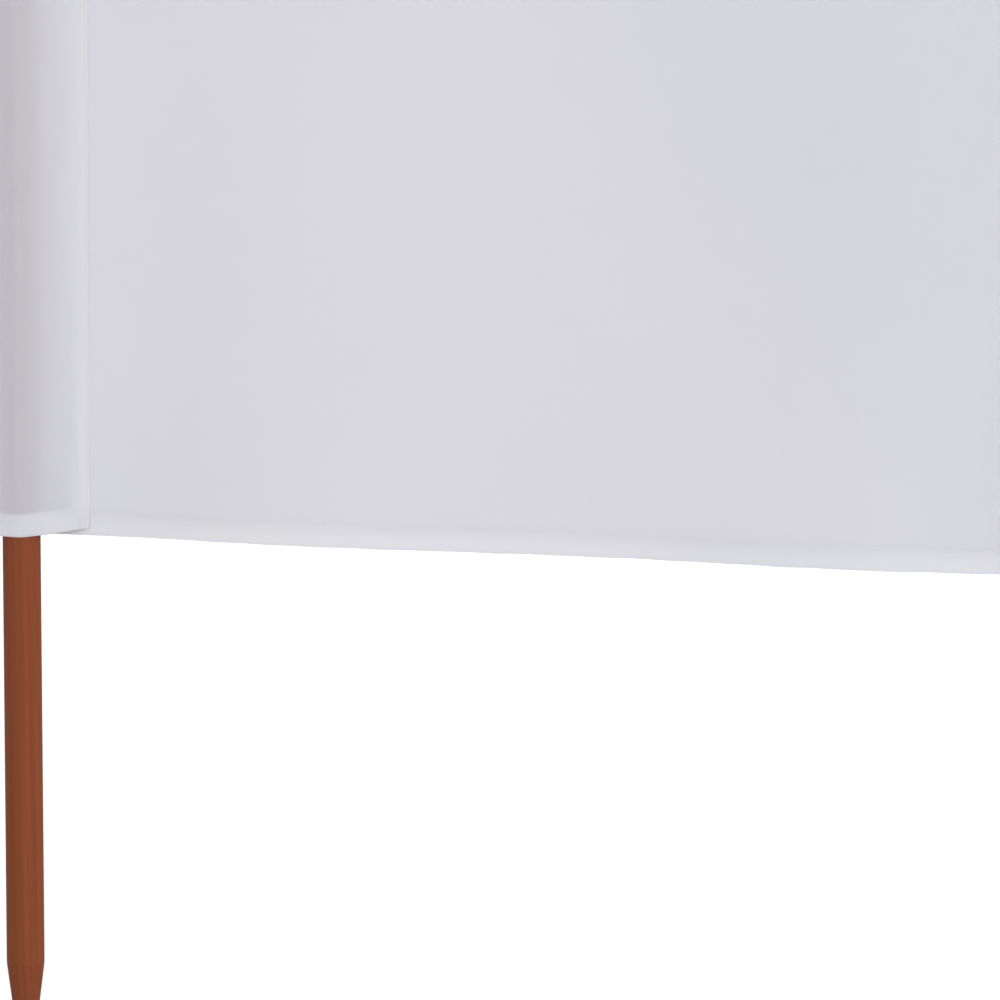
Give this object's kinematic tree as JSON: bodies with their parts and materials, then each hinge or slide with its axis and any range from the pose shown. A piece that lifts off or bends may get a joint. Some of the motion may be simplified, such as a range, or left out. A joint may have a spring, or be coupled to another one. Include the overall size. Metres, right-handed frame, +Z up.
{
  "type": "beach windbreak",
  "caption": "Beach windbreak: a long white cloth sheet, hemmed along both edges and folded in a zigzag, on round stained wooden posts that stand in sewn cloth pockets.",
  "frame": {"origin": "the blunt end of the middle post, on its axis, level with the other posts' ends", "axes": "+X along the windbreak's straight run, +Y from the pockets' side to the back, +Z up along the posts"},
  "size_m": [7.4466, 0.5315, 1.2],
  "materials": {
    "post_wood": "softwood stained reddish brown, satin",
    "sheet_cloth": "thin plain-woven white cloth, lets some light through",
    "pocket_cloth": "thin plain-woven white cloth, edges turned under and stitched",
    "hem_cloth": "plain-woven white cloth folded over and stitched"
  },
  "bodies": {
    "root": {"post_1": "post_wood", "post_2": "post_wood", "post_3": "post_wood", "post_4": "post_wood", "post_5": "post_wood", "post_6": "post_wood", "post_7": "post_wood", "pocket_1": "pocket_cloth", "pocket_2": "pocket_cloth", "pocket_3": "pocket_cloth", "pocket_4": "pocket_cloth", "pocket_5": "pocket_cloth", "pocket_6": "pocket_cloth", "pocket_7": "pocket_cloth", "panel_1": "sheet_cloth", "panel_2": "sheet_cloth", "panel_3": "sheet_cloth", "panel_4": "sheet_cloth", "panel_5": "sheet_cloth", "panel_6": "sheet_cloth", "bottom_hem_1": "hem_cloth", "bottom_hem_2": "hem_cloth", "bottom_hem_3": "hem_cloth", "bottom_hem_4": "hem_cloth", "bottom_hem_5": "hem_cloth", "bottom_hem_6": "hem_cloth", "top_hem_1": "hem_cloth", "top_hem_2": "hem_cloth", "top_hem_3": "hem_cloth", "top_hem_4": "hem_cloth", "top_hem_5": "hem_cloth", "top_hem_6": "hem_cloth"}
  },
  "joints": []
}
